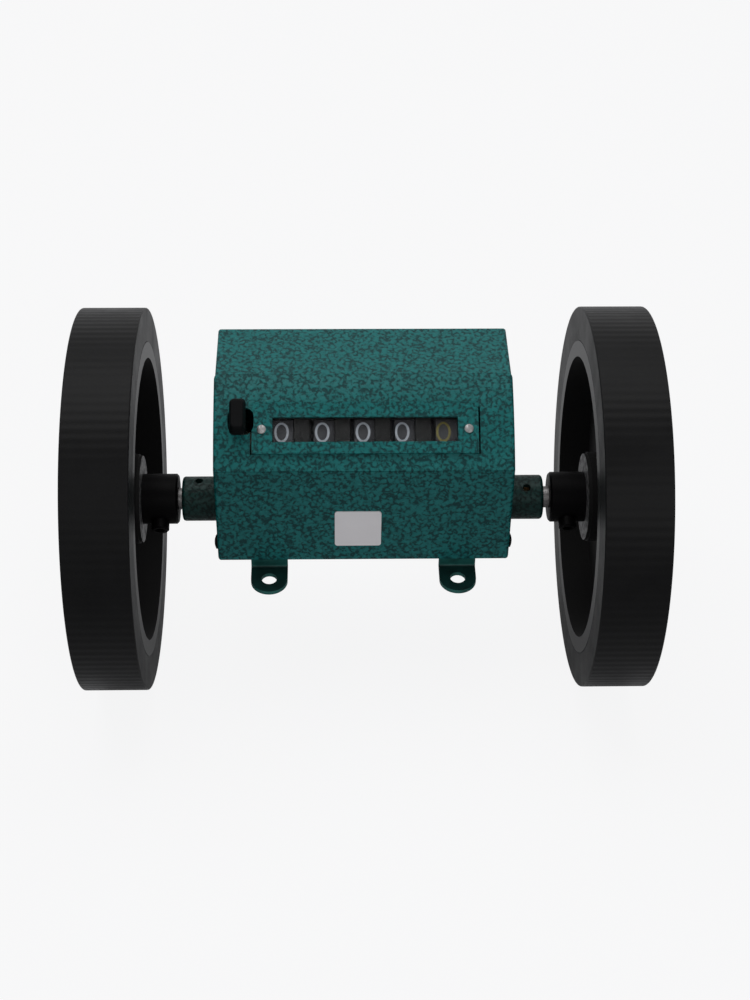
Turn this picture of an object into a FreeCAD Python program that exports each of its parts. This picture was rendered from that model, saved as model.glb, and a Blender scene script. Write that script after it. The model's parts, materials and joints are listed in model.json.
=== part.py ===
import FreeCAD, Part
import math
import os

# Cable length counter: two rubber-tyred wheels on one shaft drive a five-figure drum counter.
# Lengths are in millimetres. X runs along the shaft, to the right seen from the front.
# The window side is the front, towards -Y, and +Z is up.
# The origin is the middle of the four foot holes, on the underside of the feet.

# Measuring wheels: three turns of the shaft run off one metre
metre = 1000.0
turns_per_metre = 3
tyre_radius = metre / turns_per_metre / (2 * math.pi)
wheel_width = 17.6
tyre_depth = 9.4
tyre_edge_radius = 1.2
rim_depth = 4.4
web_thickness = 3.0
web_inset = 8.4
wheel_boss_radius = 12.5
wheel_boss_inset = 2.65
wheel_boss_end_inset = 3.2
wheel_fillet = 1.5
washer_thickness = 0.9
washer_rim = 0.4

# Shaft and hubs
shaft_radius = 3.0
shaft_shift = 0.35
shaft_end_inset = 4.5
hub_side_gap = 1.5
hub_reach = 8.15
hub_radius = 7.0
hub_chamfer = 0.5
spigot_radius = 5.0
hub_screw_inset = 5.0
hub_screw_dip = math.radians(26)
hub_screw_head_radius = 2.5
hub_screw_head_length = 2.9
hub_screw_shank_radius = 1.5
hub_screw_chamfer = 0.35
socket_across_flats = 2.5
socket_depth = 1.5
end_float = 0.4
collar_length = 4.0
collar_radius = 5.0
collar_screw_radius = 1.25

# Housing
body_width = 80.0
body_depth = 43.0
front_face_height = 32.0
body_height = 47.3
face_depth = 22.1
face_bulge = 1.3
cover_wall = 1.2
rear_inset = 0.3
parting_gap = 0.15
split_gap = 0.05
cover_clearance = 0.1
outer_edge_radius = 0.8
end_plate_thickness = 2.5
shaft_to_front = 16.5
shaft_to_bottom = 8.0

# Shaft bosses on the end plates
boss_radius = 6.2
boss_reach = 10.1
boss_edge_radius = 0.9
boss_notch_clearance = 0.25
bush_radius = 4.2
bush_end_inset = 0.5
running_fit = 0.03
oil_hole_radius = 1.1
oil_hole_out = 5.4
oil_hole_turn_left = math.radians(95)
oil_hole_turn_right = math.radians(66)

# Base plate and feet
foot_thickness = 1.2
foot_drop = 3.8
foot_width = 10.1
foot_hole_radius = 2.1
foot_spacing = 52.0
foot_hole_offset = 4.9
foot_bend_radius = 0.8

# Window pad, window, lens and its frame
pad_side = 5.45
pad_tilt = math.radians(0.3)
pad_lift = 1.66
pad_below_window = 6.6
pad_above_window = 7.6
pad_skirt = 3.0
pad_plate = 1.0
pad_slit_width = 0.5
pad_slit_top = 6.3
window_left_inset = 1.35
window_right_inset = 3.45
window_height = 6.8
window_up_face = 11.05
lens_thickness = 1.0
lens_height = 10.0
lens_overlap = 4.8
lens_frame_thickness = 0.8
lens_fit = 0.15
window_screw_inset = 2.9
window_screw_radius = 0.8
window_screw_head_radius = 1.2
window_screw_head_height = 0.7
window_nut_across_flats = 3.4
window_nut_thickness = 1.1

# Blank label on the front face
label_width = 12.6
label_height = 12.4
label_thickness = 0.3
label_corner_radius = 0.8
label_shift = -1.6
label_rise = 11.6

# Screws through the cover cheeks and the base
side_screw_margin = 3.6
side_screw_head_radius = 2.0
side_screw_head_height = 1.0
side_screw_radius = 1.1
base_screw_head_radius = 2.1
base_screw_head_height = 1.3
base_screw_radius = 1.1
base_screw_length = 5.0
lug_width = 6.0
lug_height = 6.0
screw_slot_width = 0.6
screw_slot_depth = 0.3
screw_dome_sag = 0.5

# Number drums, from the left: thousands, hundreds, tens, units, tenths
drum_count = 5
drum_radius = 11.0
drums_left_room = 10.35
drums_right_room = 7.65
drum_gap = 0.25
drum_depth_below_lens = 0.7
transfer_disc_width = 1.4
band_thickness = 1.4
drum_web_thickness = 1.2
channel_width = 1.2
ring_gear_width = 1.3
drum_hub_radius = 3.4
drum_axle_radius = 1.5
heart_thickness = 0.8
heart_low_radius = 4.2
heart_high_radius = 6.6
heart_points = 24

# Transfer pinions
ring_gear_inset = 1.5
ring_teeth = 20
pinion_teeth = 8
pinion_swing = math.radians(40)
pinion_side_gap = 0.25
pinion_hub_radius = 2.4
pinion_axle_radius = 1.0
pinion_spacer_radius = 1.9
transfer_addendum_share = 0.7
transfer_dedendum_share = 1.1
transfer_slack = 0.2

# Drive gears from the shaft to the tenths drum, one turn for three
drum_gear_inset = 1.0
idler_rear_gap = 1.0
shaft_gear_teeth = 24
idler_large_teeth = 36
idler_small_teeth = 20
drum_gear_teeth = 40
drive_gear_width = 2.0
drive_addendum_share = 0.9
drive_dedendum_share = 1.2
drive_slack = 0.07
gear_hub_radius = 4.6
idler_hub_radius = 2.9
idler_axle_radius = 1.5
idler_step_gap = 1.1
clip_radius = 2.8
clip_thickness = 0.6
clip_mouth = 1.6
clip_groove_depth = 0.4
axle_tail = 0.7
pressure_angle = math.radians(20)
fit_steps = 30

# Reset lever: pressed down against its spring
reset_rod_radius = 2.0
reset_rod_inset = 12.0
reset_rod_drop = 7.3
reset_travel = math.radians(8)
reset_lever_inset = 2.6
reset_lever_thickness = 2.2
reset_lever_boss_radius = 3.6
reset_lever_end_radius = 1.9
reset_lever_depth = 4.4
reset_slot_width = 6.9
reset_slot_shift = 0.7
reset_slot_length = 7.6
reset_slot_radius = 2.6
reset_slot_offset = 2.5
stem_length = 3.4
stem_width = 2.2
stem_offset = 0.3
cap_length = 10.0
cap_width = 4.4
cap_height = 3.6
cap_lift = 2.7
cap_top_share = 0.76
cap_socket_depth = 1.8
finger_thickness = 0.7
finger_nose_radius = 0.8
finger_boss_radius = 3.4
finger_clearance = 0.3
spring_wire_radius = 0.3
spring_turns = 5
spring_pitch = 1.3
spring_rod_gap = 0.7
spring_seat_gap = 0.05
spring_hook_out = 7.5
spring_hook_bend = 0.8
spring_tail_back = 6.5
spring_lever_gap = 1.5

# One overrun serves every cut that has to pass right through
overrun = 2.0

ALONG = FreeCAD.Vector(1, 0, 0)
UP = FreeCAD.Vector(0, 0, 1)
FULL_TURN = 360

# Places that follow from the sizes, as (y, z) pairs across the shaft
half_body = body_width / 2
half_rear = half_body - rear_inset
plate_face = half_rear - cover_wall
plate_back = plate_face - end_plate_thickness
front_y = -body_depth / 2
rear_y = body_depth / 2
bottom_z = foot_thickness + foot_drop
crease_z = bottom_z + front_face_height
top_z = bottom_z + body_height
split_y = front_y + face_depth
shaft_axis = (front_y + shaft_to_front, bottom_z + shaft_to_bottom)
base_top = bottom_z + foot_thickness

pad_slope = math.atan2(top_z - crease_z, face_depth) + pad_tilt
pad_normal = (-math.sin(pad_slope), math.cos(pad_slope))
pad_tangent = (math.cos(pad_slope), math.sin(pad_slope))
window_point = (front_y + window_up_face * pad_tangent[0] + pad_lift * pad_normal[0],
                crease_z + window_up_face * pad_tangent[1] + pad_lift * pad_normal[1])


def on_pad(along, out):
    """The (y, z) place that lies up the pad by along and out of its face by out."""
    return (window_point[0] + along * pad_tangent[0] + out * pad_normal[0],
            window_point[1] + along * pad_tangent[1] + out * pad_normal[1])


def polar(centre, radius, angle):
    """The (y, z) place at this radius and angle, counted from +Y towards +Z."""
    return (centre[0] + radius * math.cos(angle), centre[1] + radius * math.sin(angle))


def distance(first, second):
    return math.hypot(second[0] - first[0], second[1] - first[1])


def bearing(first, second):
    return math.atan2(second[1] - first[1], second[0] - first[0])


drum_inset = pad_plate + lens_thickness + lens_frame_thickness + drum_depth_below_lens + drum_radius
drum_axis = on_pad(0, -drum_inset)
transfer_module = 2 * (drum_radius - ring_gear_inset) / ring_teeth
transfer_distance = transfer_module * (ring_teeth + pinion_teeth) / 2
pinion_axis = polar(drum_axis, transfer_distance, -math.pi / 2 - pinion_swing)
reset_axis = (rear_y - reset_rod_inset, top_z - reset_rod_drop)
shaft_to_drum = distance(shaft_axis, drum_axis)


def idler_place(module):
    """The idler stands behind the line from shaft to drum, at the two gear distances."""
    first = module * (shaft_gear_teeth + idler_large_teeth) / 2
    second = module * (idler_small_teeth + drum_gear_teeth) / 2
    along = (first ** 2 - second ** 2 + shaft_to_drum ** 2) / (2 * shaft_to_drum)
    turn = math.acos(min(1, along / first))
    return polar(shaft_axis, first, bearing(shaft_axis, drum_axis) - turn)


def drive_module_that_fits():
    """The largest tooth size that stays inside the drum and keeps the idler off the rear cover."""
    def clears(module):
        reach = module * (idler_large_teeth / 2 + drive_addendum_share)
        return idler_place(module)[0] + reach < rear_y - cover_wall - idler_rear_gap
    most = 2 * (drum_radius - drum_gear_inset) / drum_gear_teeth
    if clears(most):
        return most
    least = 2 * shaft_to_drum / (shaft_gear_teeth + idler_large_teeth + idler_small_teeth + drum_gear_teeth)
    for _ in range(fit_steps):
        middle = (least + most) / 2
        least, most = (middle, most) if clears(middle) else (least, middle)
    return least


drive_module = drive_module_that_fits()
idler_axis = idler_place(drive_module)

# Places along X
figures_left = drums_left_room - plate_back
drums_right = plate_back - drums_right_room
drum_pitch = (drums_right + drum_gap - figures_left) / drum_count
ring_start = drum_pitch - drum_gap - ring_gear_width
ring_end = ring_start + ring_gear_width
band_end = ring_start - channel_width
window_left = figures_left + window_left_inset
window_right = drums_right - window_right_inset
idler_large_x = drums_right + idler_step_gap
idler_end_x = plate_back - end_float
reset_lever_x = reset_lever_inset - plate_back


def rod(radius, x_start, x_end, axis):
    start = FreeCAD.Vector(x_start, axis[0], axis[1])
    return Part.makeCylinder(radius, x_end - x_start, start, ALONG)


def tube(radius, bore_radius, x_start, x_end, axis):
    bore = rod(bore_radius, x_start - overrun, x_end + overrun, axis)
    return rod(radius, x_start, x_end, axis).cut(bore)


def prism(outline, x_start, x_end):
    """A flat plate square to X, from an outline of (y, z) points."""
    corners = [FreeCAD.Vector(x_start, y, z) for y, z in outline]
    face = Part.Face(Part.makePolygon(corners + corners[:1]))
    return face.extrude(ALONG * (x_end - x_start))


def turned(outline, axis):
    """A turned piece about an axis along X, from an outline of (x, radius) points."""
    corners = [FreeCAD.Vector(x, axis[0], axis[1] + radius) for x, radius in outline]
    face = Part.Face(Part.makePolygon(corners + corners[:1]))
    return face.revolve(FreeCAD.Vector(0, axis[0], axis[1]), ALONG, FULL_TURN)


def box(x_range, y_range, z_range):
    corner = FreeCAD.Vector(x_range[0], y_range[0], z_range[0])
    return Part.makeBox(x_range[1] - x_range[0], y_range[1] - y_range[0], z_range[1] - z_range[0], corner)


def mirrored(shape, x_middle=0):
    return shape.mirror(FreeCAD.Vector(x_middle, 0, 0), ALONG)


def shifted(shape, x_shift):
    moved = shape.copy()
    moved.translate(ALONG * x_shift)
    return moved


def joined(first, *others):
    return first.multiFuse(list(others)).removeSplitter()


def edges_at(shape, chosen):
    return [edge for edge in shape.Edges if chosen(edge)]


def link(start, start_radius, end, end_radius, x_start, x_end):
    """A flat arm: two round ends joined by their outer tangents."""
    heading = bearing(start, end)
    lean = math.acos((start_radius - end_radius) / distance(start, end))
    outline = [polar(start, start_radius, heading + lean),
               polar(start, start_radius, heading - lean),
               polar(end, end_radius, heading - lean),
               polar(end, end_radius, heading + lean)]
    return joined(prism(outline, x_start, x_end),
                  rod(start_radius, x_start, x_end, start),
                  rod(end_radius, x_start, x_end, end))


def hexagon(across_flats, start, direction, depth):
    """A six-sided bar from start along direction."""
    radius = across_flats / 2 / math.cos(math.pi / 6)
    corners = []
    for step in range(7):
        turn = step * math.pi / 3
        corners.append(FreeCAD.Vector(radius * math.cos(turn), radius * math.sin(turn), 0))
    bar = Part.Face(Part.makePolygon(corners)).extrude(UP * depth)
    bar.Placement = FreeCAD.Placement(start, FreeCAD.Rotation(UP, direction))
    return bar


# Gears

def half_tooth(radius, teeth, module, slack):
    """Half the angle of a tooth at this radius, on an involute flank."""
    pitch_radius = teeth * module / 2
    base_radius = pitch_radius * math.cos(pressure_angle)
    at_pitch = (math.pi * module / 2 - slack) / 2 / pitch_radius
    slope = math.acos(min(1, base_radius / radius))
    return at_pitch + math.tan(pressure_angle) - pressure_angle - math.tan(slope) + slope


def gear_outline(teeth, module, shares, slack, phase, axis, kept=None):
    """The (y, z) outline of a gear with a tooth at angle phase; kept limits the teeth."""
    pitch_radius = teeth * module / 2
    root_radius = pitch_radius - shares[1] * module
    tip_radius = pitch_radius + shares[0] * module
    foot_radius = max(root_radius, pitch_radius * math.cos(pressure_angle))
    flank = [(root_radius, foot_radius), (foot_radius, foot_radius),
             (pitch_radius, pitch_radius), (tip_radius, tip_radius)]
    points = []
    for tooth in range(teeth):
        middle = phase + 2 * math.pi * tooth / teeth
        if kept is not None and tooth >= kept:
            points.append(polar(axis, root_radius, middle))
            continue
        for radius, taken_at in flank:
            points.append(polar(axis, radius, middle - half_tooth(taken_at, teeth, module, slack)))
        for radius, taken_at in reversed(flank):
            points.append(polar(axis, radius, middle + half_tooth(taken_at, teeth, module, slack)))
    return points


def transfer_outline(teeth, phase, axis, kept=None):
    shares = (transfer_addendum_share, transfer_dedendum_share)
    return gear_outline(teeth, transfer_module, shares, transfer_slack, phase, axis, kept)


def drive_outline(teeth, phase, axis):
    shares = (drive_addendum_share, drive_dedendum_share)
    return gear_outline(teeth, drive_module, shares, drive_slack, phase, axis)


def facing_tooth(axis, mate):
    """Phase that points a tooth at the mating gear."""
    return bearing(axis, mate)


def facing_space(axis, mate, teeth):
    """Phase that points the gap between two teeth at the mating gear."""
    return bearing(axis, mate) + math.pi / teeth


# Wheels, right side first; the left one is its mirror image

hub_face = half_body + boss_reach + hub_side_gap
wheel_face = hub_face + hub_reach
wheel_outer = wheel_face + wheel_width
rim_radius = tyre_radius - tyre_depth
recess_radius = rim_radius - rim_depth
boss_face = wheel_face + wheel_boss_inset
boss_end = wheel_outer - wheel_boss_end_inset
hub_shoulder = boss_face - washer_thickness
shaft_half = wheel_outer - shaft_end_inset


def tyre():
    body = tube(tyre_radius, rim_radius, wheel_face, wheel_outer, shaft_axis)
    rounded = edges_at(body, lambda edge: edge.Curve.TypeId == "Part::GeomCircle"
                       and edge.Curve.Radius > rim_radius + tyre_depth / 2)
    return body.makeFillet(tyre_edge_radius, rounded)


def wheel():
    web_start = wheel_face + web_inset
    web_end = web_start + web_thickness
    outline = [(wheel_face, recess_radius), (wheel_face, rim_radius),
               (wheel_outer, rim_radius), (wheel_outer, recess_radius),
               (web_end, recess_radius - wheel_fillet), (web_end, wheel_boss_radius),
               (boss_end, wheel_boss_radius), (boss_end, spigot_radius),
               (boss_face, spigot_radius), (boss_face, wheel_boss_radius),
               (web_start, wheel_boss_radius), (web_start, recess_radius - wheel_fillet)]
    return turned(outline, shaft_axis)


def washer():
    radius = wheel_boss_radius - washer_rim
    return tube(radius, spigot_radius, hub_shoulder, boss_face, shaft_axis)


def hub_screw_frame():
    """Where the clamp screw stands on the hub, and which way it points out."""
    way = FreeCAD.Vector(0, -math.cos(hub_screw_dip), -math.sin(hub_screw_dip))
    foot = FreeCAD.Vector(hub_face + hub_screw_inset, shaft_axis[0], shaft_axis[1])
    return foot, way


def hub():
    outline = [(hub_face, shaft_radius), (hub_face, hub_radius - hub_chamfer),
               (hub_face + hub_chamfer, hub_radius), (hub_shoulder, hub_radius),
               (hub_shoulder, spigot_radius), (boss_end, spigot_radius),
               (boss_end, shaft_radius)]
    foot, way = hub_screw_frame()
    hole = Part.makeCylinder(hub_screw_shank_radius, hub_radius + overrun, foot, way)
    seat_start = foot + way * (hub_radius - hub_screw_chamfer)
    seat = Part.makeCylinder(hub_screw_head_radius, overrun, seat_start, way)
    return turned(outline, shaft_axis).cut(hole).cut(seat)


def hub_screw():
    foot, way = hub_screw_frame()
    shank_start = foot + way * shaft_radius
    shank = Part.makeCylinder(hub_screw_shank_radius, hub_radius - shaft_radius, shank_start, way)
    head_start = hub_radius - hub_screw_chamfer
    head = Part.makeCylinder(hub_screw_head_radius, hub_screw_head_length, foot + way * head_start, way)
    head_end = foot + way * (head_start + hub_screw_head_length)
    rim = edges_at(head, lambda edge: (edge.CenterOfMass - head_end).Length < hub_screw_chamfer)
    head = head.makeChamfer(hub_screw_chamfer, rim)
    socket = hexagon(socket_across_flats, head_end - way * socket_depth, way, socket_depth + overrun)
    flat = rod(shaft_radius, hub_face, boss_face, shaft_axis)
    return joined(head.cut(socket), shank).cut(flat)


def roller_side(shape, side):
    """Puts a right-hand wheel piece on its side of the shifted shaft."""
    if side < 0:
        shape = mirrored(shape)
    return shifted(shape, shaft_shift)


def both_sides(make):
    shape = make()
    return Part.makeCompound([roller_side(shape, -1), roller_side(shape, 1)])


# Inside the housing, on the shaft

gear_hub_start = idler_large_x + drive_gear_width


def shaft():
    return rod(shaft_radius, shaft_shift - shaft_half, shaft_shift + shaft_half, shaft_axis)


def shaft_gear():
    phase = facing_tooth(shaft_axis, idler_axis)
    teeth = prism(drive_outline(shaft_gear_teeth, phase, shaft_axis), idler_large_x, gear_hub_start)
    sleeve = rod(gear_hub_radius, gear_hub_start, plate_back - end_float, shaft_axis)
    bore = rod(shaft_radius, idler_large_x - overrun, plate_back + overrun, shaft_axis)
    return joined(teeth, sleeve).cut(bore)


def collar_screw_place():
    return FreeCAD.Vector(-plate_back + end_float + collar_length / 2, shaft_axis[0], shaft_axis[1])


def thrust_collar():
    start = -plate_back + end_float
    ring = tube(collar_radius, shaft_radius, start, start + collar_length, shaft_axis)
    hole = Part.makeCylinder(collar_screw_radius, collar_radius + overrun, collar_screw_place(), UP)
    return ring.cut(hole)


def collar_screw():
    start = collar_screw_place() + UP * shaft_radius
    screw = Part.makeCylinder(collar_screw_radius, collar_radius - shaft_radius, start, UP)
    top = shaft_axis[1] + collar_radius
    slot = box((start.x - screw_slot_width / 2, start.x + screw_slot_width / 2),
               (start.y - collar_radius, start.y + collar_radius),
               (top - screw_slot_depth, top + overrun))
    bore = rod(shaft_radius, start.x - collar_length, start.x + collar_length, shaft_axis)
    return screw.cut(slot).cut(bore)


# Housing outline: front face, bulged window face, flat top and back

def housing_face(inset):
    """The closed side outline of the housing, drawn in by inset, as a face at X = 0."""
    def at(y, z):
        return FreeCAD.Vector(0, y, z)
    chord = math.hypot(split_y - front_y, top_z - crease_z)
    lift = face_bulge / chord
    middle = at((front_y + split_y) / 2 - lift * (top_z - crease_z),
                (crease_z + top_z) / 2 + lift * (split_y - front_y))
    lines = [Part.LineSegment(at(front_y, bottom_z), at(front_y, crease_z)).toShape(),
             Part.Arc(at(front_y, crease_z), middle, at(split_y, top_z)).toShape(),
             Part.LineSegment(at(split_y, top_z), at(rear_y, top_z)).toShape(),
             Part.LineSegment(at(rear_y, top_z), at(rear_y, bottom_z)).toShape(),
             Part.LineSegment(at(rear_y, bottom_z), at(front_y, bottom_z)).toShape()]
    face = Part.Face(Part.Wire(lines))
    if inset > 0:
        face = face.makeOffset2D(-inset)
    return face


def housing_block(half_width, inset=0):
    block = housing_face(inset).extrude(ALONG * (2 * half_width))
    return shifted(block, -half_width)


def pad_block():
    """The flat raised pad round the window."""
    outline = [on_pad(-pad_below_window, 0), on_pad(pad_above_window, 0),
               on_pad(pad_above_window, -pad_skirt), on_pad(-pad_below_window, -pad_skirt)]
    return prism(outline, window_left - pad_side, window_right + pad_side)


def pad_prism(along_range, out_range, x_range):
    """A block square to the pad."""
    outline = [on_pad(along_range[0], out_range[0]), on_pad(along_range[1], out_range[0]),
               on_pad(along_range[1], out_range[1]), on_pad(along_range[0], out_range[1])]
    return prism(outline, x_range[0], x_range[1])


def inner_block():
    """The space inside the covers, open at the bottom."""
    hollow = housing_block(plate_face, cover_wall)
    mouth = box((-plate_face, plate_face),
                (front_y + cover_wall, rear_y - cover_wall),
                (bottom_z - overrun, bottom_z + 2 * cover_wall))
    return joined(hollow, mouth)


def boss_notch():
    """The notch that lets a cover drop over the shaft bosses."""
    radius = boss_radius + boss_notch_clearance
    hole = rod(radius, -half_body - overrun, half_body + overrun, shaft_axis)
    way_down = box((-half_body - overrun, half_body + overrun),
                   (shaft_axis[0] - radius, shaft_axis[0] + radius),
                   (bottom_z - overrun, shaft_axis[1]))
    return joined(hole, way_down)


def softened(shape, half_width):
    """Rounds the outer side edges of a cover, and the edge between top and back."""
    def chosen(edge):
        extent = edge.BoundBox
        at_side = abs(abs(extent.Center.x) - half_width) < outer_edge_radius / 2
        at_end = abs(extent.Center.y) > body_depth / 2 - cover_wall / 2
        above = extent.Center.z > crease_z + cover_wall
        below = extent.ZMax < bottom_z + cover_wall / 2
        side_edge = at_side and extent.XLength < outer_edge_radius / 2 and (at_end or above or below)
        back_edge = (extent.XLength > half_width and extent.Center.y > rear_y - cover_wall / 2
                     and extent.Center.z > top_z - cover_wall / 2)
        return extent.DiagonalLength > boss_radius and (side_edge or back_edge)
    return shape.makeFillet(min(outer_edge_radius, cover_wall), edges_at(shape, chosen))


def side_screw_places():
    """The cheek screws: (x face, place) for the front plate, then for the rear cover."""
    height = bottom_z + side_screw_margin
    return [(half_body, (front_y + side_screw_margin, height)),
            (half_rear, (rear_y - side_screw_margin, height))]


def side_screw_holes():
    holes = []
    for face, place in side_screw_places():
        holes.append(rod(side_screw_radius, -face - overrun, face + overrun, place))
    return holes[0].fuse(holes[1])


def front_plate():
    shell = housing_block(half_body).cut(inner_block())
    keep = box((-half_body, half_body), (front_y, split_y - split_gap),
               (bottom_z, crease_z - parting_gap))
    return softened(shell.common(keep).cut(boss_notch()), half_body).cut(side_screw_holes())


def reset_slot():
    """The rounded opening for the reset lever, cut square to the window face."""
    middle = reset_lever_x + reset_slot_shift
    bar = pad_prism((reset_slot_offset - reset_slot_length / 2, reset_slot_offset + reset_slot_length / 2),
                    (-pad_skirt - overrun, overrun),
                    (middle - reset_slot_width / 2, middle + reset_slot_width / 2))
    normal = FreeCAD.Vector(0, pad_normal[0], pad_normal[1])
    corners = edges_at(bar, lambda edge: abs((edge.Vertexes[1].Point - edge.Vertexes[0].Point).dot(normal))
                       > pad_skirt)
    return bar.makeFillet(reset_slot_radius, corners)


def pad_slits():
    """Slits beside the pad, where the cover was cut to raise it; the left one ends in the lever's slot."""
    starts = (window_left - pad_side - pad_slit_width, window_right + pad_side)
    tops = (reset_slot_offset, pad_slit_top)
    left, right = [pad_prism((-pad_below_window, top), (-pad_skirt - overrun, overrun),
                             (start, start + pad_slit_width)) for start, top in zip(starts, tops)]
    return left.fuse(right)


def window_screw_xs():
    return [window_left - window_screw_inset, window_right + window_screw_inset]


def pad_cylinder(radius, x, out_range):
    y, z = on_pad(0, out_range[0])
    way = FreeCAD.Vector(0, pad_normal[0], pad_normal[1])
    return Part.makeCylinder(radius, out_range[1] - out_range[0], FreeCAD.Vector(x, y, z), way)


def window_cover():
    shell = joined(housing_block(half_body), pad_block()).cut(inner_block())
    keep = box((-half_body, half_body), (front_y - overrun, split_y - split_gap), (crease_z, top_z))
    cover = softened(shell.common(keep), half_body)
    pocket = pad_prism((-lens_height / 2 - lens_fit, lens_height / 2 + lens_fit),
                       (-pad_skirt - overrun, -pad_plate),
                       (window_left - lens_overlap - lens_fit, window_right + lens_overlap + lens_fit))
    cover = cover.cut(window_opening((-pad_skirt - overrun, overrun))).cut(pocket).cut(reset_slot())
    cover = cover.cut(pad_slits())
    for x in window_screw_xs():
        cover = cover.cut(pad_cylinder(window_screw_radius, x, (-pad_skirt, overrun)))
    return cover


def rear_cover():
    keep = box((-half_rear, half_rear), (split_y, rear_y), (bottom_z, top_z))
    shell = housing_block(half_rear).cut(inner_block()).common(keep)
    return softened(shell, half_rear).cut(boss_notch()).cut(side_screw_holes())


# End plates, bushes and base

def lug_place(end):
    """The (y, z) range of a screw lug at the front (end < 0) or rear of an end plate."""
    reach = body_depth / 2 - cover_wall - cover_clearance
    ys = sorted((end * reach, end * (reach - lug_width)))
    return ys, (base_top, base_top + lug_height)


def end_plate(oil_turn):
    """The right-hand end plate with its shaft boss and oil hole."""
    inside = housing_block(plate_face, cover_wall + cover_clearance)
    keep = box((plate_back, plate_face), (front_y, rear_y), (base_top, top_z))
    plate = inside.common(keep)
    boss = rod(boss_radius, plate_face, half_body + boss_reach, shaft_axis)
    boss_rim = edges_at(boss, lambda edge: edge.BoundBox.XMin > plate_face + boss_reach / 2)
    boss = boss.makeFillet(boss_edge_radius, boss_rim)
    pieces = [boss]
    for end in (-1, 1):
        ys, zs = lug_place(end)
        pieces.append(box((plate_back - lug_width, plate_back), ys, zs))
    plate = joined(plate, *pieces)
    plate = plate.cut(rod(bush_radius, plate_back - overrun, half_body + boss_reach + overrun, shaft_axis))
    plate = plate.cut(oil_hole(oil_turn)).cut(side_screw_holes())
    for end in (-1, 1):
        plate = plate.cut(base_screw_hole(end))
    for radius, axis in ((drum_axle_radius, drum_axis), (pinion_axle_radius, pinion_axis),
                         (reset_rod_radius + running_fit, reset_axis)):
        plate = plate.cut(rod(radius, plate_back - overrun, plate_face + overrun, axis))
    return plate


def left_end_plate():
    """The left plate is turned over; its oil hole keeps its own angle."""
    return mirrored(end_plate(oil_hole_turn_left))


def right_end_plate():
    idler_hole = rod(idler_axle_radius, plate_back - overrun, plate_face + overrun, idler_axis)
    return end_plate(oil_hole_turn_right).cut(idler_hole)


def oil_hole(turn):
    """A radial hole in the boss; turn is counted from the front, over the top."""
    way = FreeCAD.Vector(0, -math.cos(turn), math.sin(turn))
    start = FreeCAD.Vector(half_body + oil_hole_out, shaft_axis[0], shaft_axis[1])
    return Part.makeCylinder(oil_hole_radius, boss_radius + overrun, start, way)


def bush(oil_turn):
    sleeve = tube(bush_radius, shaft_radius + running_fit, plate_back,
                  half_body + boss_reach - bush_end_inset, shaft_axis)
    return sleeve.cut(oil_hole(oil_turn))


def shaft_bushes():
    return Part.makeCompound([mirrored(bush(oil_hole_turn_left)), bush(oil_hole_turn_right)])


def base_screw_place(end):
    ys, zs = lug_place(end)
    return FreeCAD.Vector(plate_back - lug_width / 2, (ys[0] + ys[1]) / 2, bottom_z)


def base_screw_hole(end):
    start = base_screw_place(end) - UP * overrun
    return Part.makeCylinder(base_screw_radius, base_screw_length + overrun, start, UP)


def foot(side, end):
    """One foot: a tab that drops from the base edge and turns outward."""
    edge_y = end * (body_depth / 2 - cover_wall - cover_clearance)
    x_middle = side * foot_spacing / 2
    x_range = (x_middle - foot_width / 2, x_middle + foot_width / 2)
    drop = box(x_range, sorted((edge_y, edge_y - end * foot_thickness)), (0, base_top))
    hole_y = edge_y + end * foot_hole_offset
    tab = box(x_range, sorted((edge_y - end * foot_thickness, hole_y)), (0, foot_thickness))
    tip = Part.makeCylinder(foot_width / 2, foot_thickness, FreeCAD.Vector(x_middle, hole_y, 0), UP)
    leg = joined(drop, tab, tip)
    bend = edges_at(leg, lambda line: line.BoundBox.XLength > foot_width / 2
                    and line.BoundBox.ZMax < foot_thickness + foot_bend_radius / 2
                    and abs(line.BoundBox.Center.y - edge_y) < foot_bend_radius / 2
                    and line.BoundBox.ZMin > foot_thickness / 2)
    heel = edges_at(leg, lambda line: line.BoundBox.XLength > foot_width / 2
                    and line.BoundBox.ZMax < foot_thickness / 2
                    and abs(line.BoundBox.Center.y - edge_y) > foot_thickness / 2
                    and abs(line.BoundBox.Center.y) < abs(edge_y))
    leg = leg.makeFillet(foot_bend_radius, bend + heel)
    hole = Part.makeCylinder(foot_hole_radius, foot_thickness + overrun,
                             FreeCAD.Vector(x_middle, hole_y, -overrun / 2), UP)
    return leg.cut(hole)


def base_plate():
    reach = body_depth / 2 - cover_wall - cover_clearance
    web = box((-plate_face, plate_face), (-reach, reach), (bottom_z, base_top))
    plate = joined(web, *[foot(side, end) for side in (-1, 1) for end in (-1, 1)])
    for end in (-1, 1):
        hole = base_screw_hole(end)
        plate = plate.cut(hole).cut(mirrored(hole))
    return plate


def domed_head(radius, height, start, way):
    """A low domed screw head: a disc topped by a shallow cap, with a slot."""
    sag = min(screw_dome_sag, height / 2)
    sphere_radius = (radius ** 2 + sag ** 2) / (2 * sag)
    disc = Part.makeCylinder(radius, height, start, way)
    ball = Part.makeSphere(sphere_radius, start + way * (height - sphere_radius))
    slot = Part.makeBox(screw_slot_width, 2 * radius, screw_slot_depth,
                        FreeCAD.Vector(-screw_slot_width / 2, -radius, 0))
    slot.Placement = FreeCAD.Placement(start + way * (height - screw_slot_depth),
                                       FreeCAD.Rotation(UP, way)).multiply(slot.Placement)
    return disc.common(ball).cut(slot)


def base_screws():
    screws = []
    for end in (-1, 1):
        place = base_screw_place(end)
        shank = Part.makeCylinder(base_screw_radius, base_screw_length, place, UP)
        screw = joined(shank, domed_head(base_screw_head_radius, base_screw_head_height, place, UP * -1))
        screws += [screw, mirrored(screw)]
    return Part.makeCompound(screws)


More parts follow.
